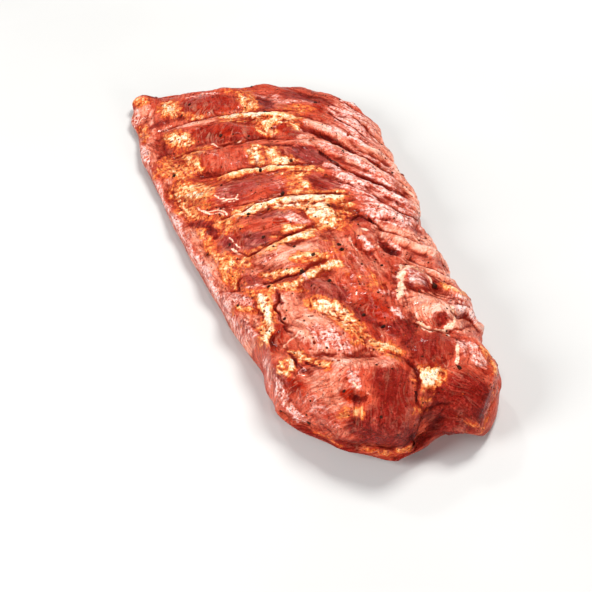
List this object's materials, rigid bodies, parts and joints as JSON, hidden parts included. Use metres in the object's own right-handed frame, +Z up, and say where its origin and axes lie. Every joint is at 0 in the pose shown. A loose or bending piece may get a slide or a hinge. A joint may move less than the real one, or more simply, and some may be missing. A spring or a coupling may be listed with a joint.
{
  "type": "rack of ribs",
  "caption": "Raw marinated rack of pork ribs lying flat, thick and rolled at one end, thin at the other.",
  "frame": {"origin": "middle of the footprint, on the surface the meat lies on", "axes": "+Z up, +Y along the rack from the thick near end to the thin far end, +X across it to the right edge"},
  "size_m": [0.1422, 0.355, 0.0407],
  "materials": {
    "meat": "wet marinated raw meat: red muscle, cream fat bands, orange spice rub with cracked pepper, glossy"
  },
  "bodies": {
    "root": {"rack": "meat"}
  },
  "joints": []
}
